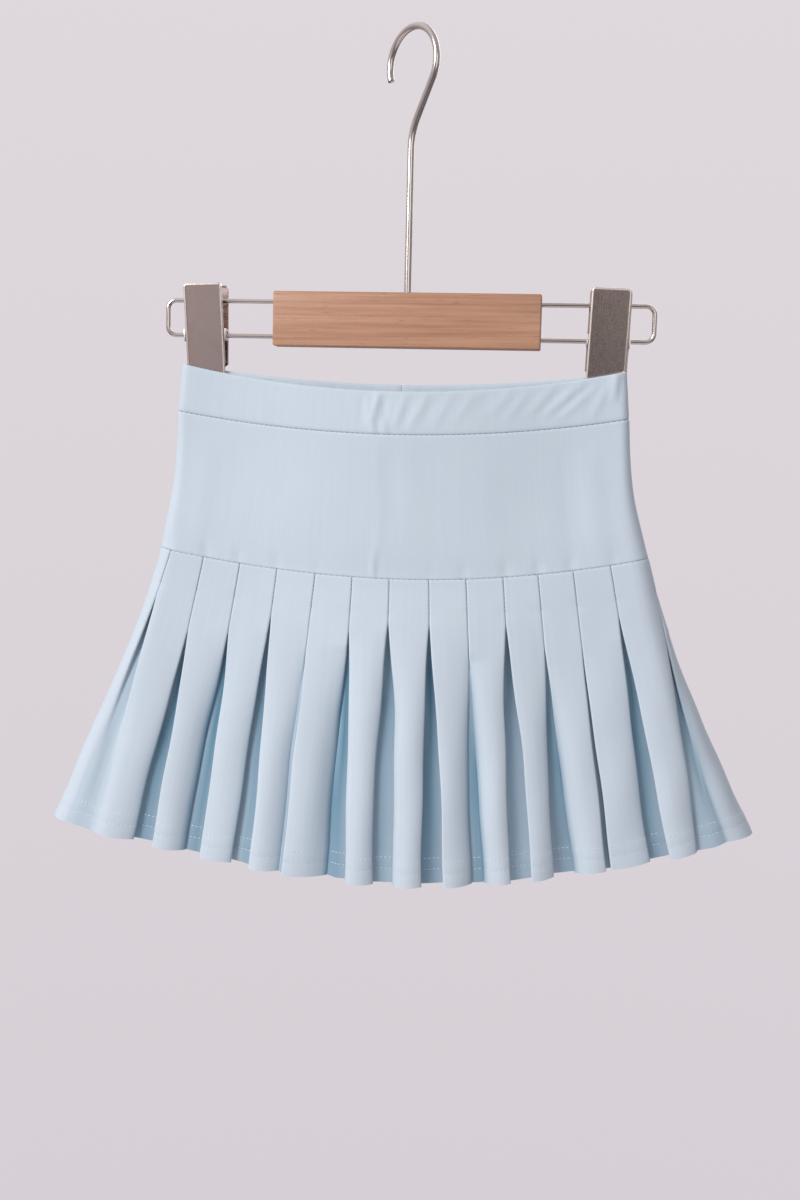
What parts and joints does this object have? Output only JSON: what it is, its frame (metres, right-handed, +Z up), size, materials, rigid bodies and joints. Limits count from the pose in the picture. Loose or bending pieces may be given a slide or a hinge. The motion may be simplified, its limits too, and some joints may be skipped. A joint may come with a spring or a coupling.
{
  "type": "pleated skort on clip hanger",
  "caption": "Child's pleated skort with an elastic waistband, hip yoke, box-pleated skirt and inner shorts, clipped by its back waistband on a wooden bar hanger with a wire hook.",
  "frame": {"origin": "inside top of the hanger's hook, on the middle plane of the bar, where a rail bears", "axes": "+Z up, -Y towards the skort's front, +X towards the picture's right"},
  "size_m": [0.3829, 0.0825, 0.4475],
  "materials": {
    "cloth": "smooth matt jersey, light blue",
    "wood": "clear satin lacquer on beech",
    "wire": "polished nickel plate",
    "plate": "brushed nickel plate"
  },
  "bodies": {
    "root": {"waistband_front": "cloth", "waistband_back_right": "cloth", "waistband_back_left": "cloth", "yoke_front": "cloth", "yoke_back": "cloth", "skirt_front": "cloth", "skirt_back": "cloth", "shorts_left": "cloth", "shorts_right": "cloth", "hook": "wire", "bar": "wood", "wire_loop_left": "wire", "wire_loop_right": "wire", "clip_left_front_plate": "plate", "clip_left_back_plate": "plate", "clip_left_spring": "wire", "clip_right_front_plate": "plate", "clip_right_back_plate": "plate", "clip_right_spring": "wire"}
  },
  "joints": []
}
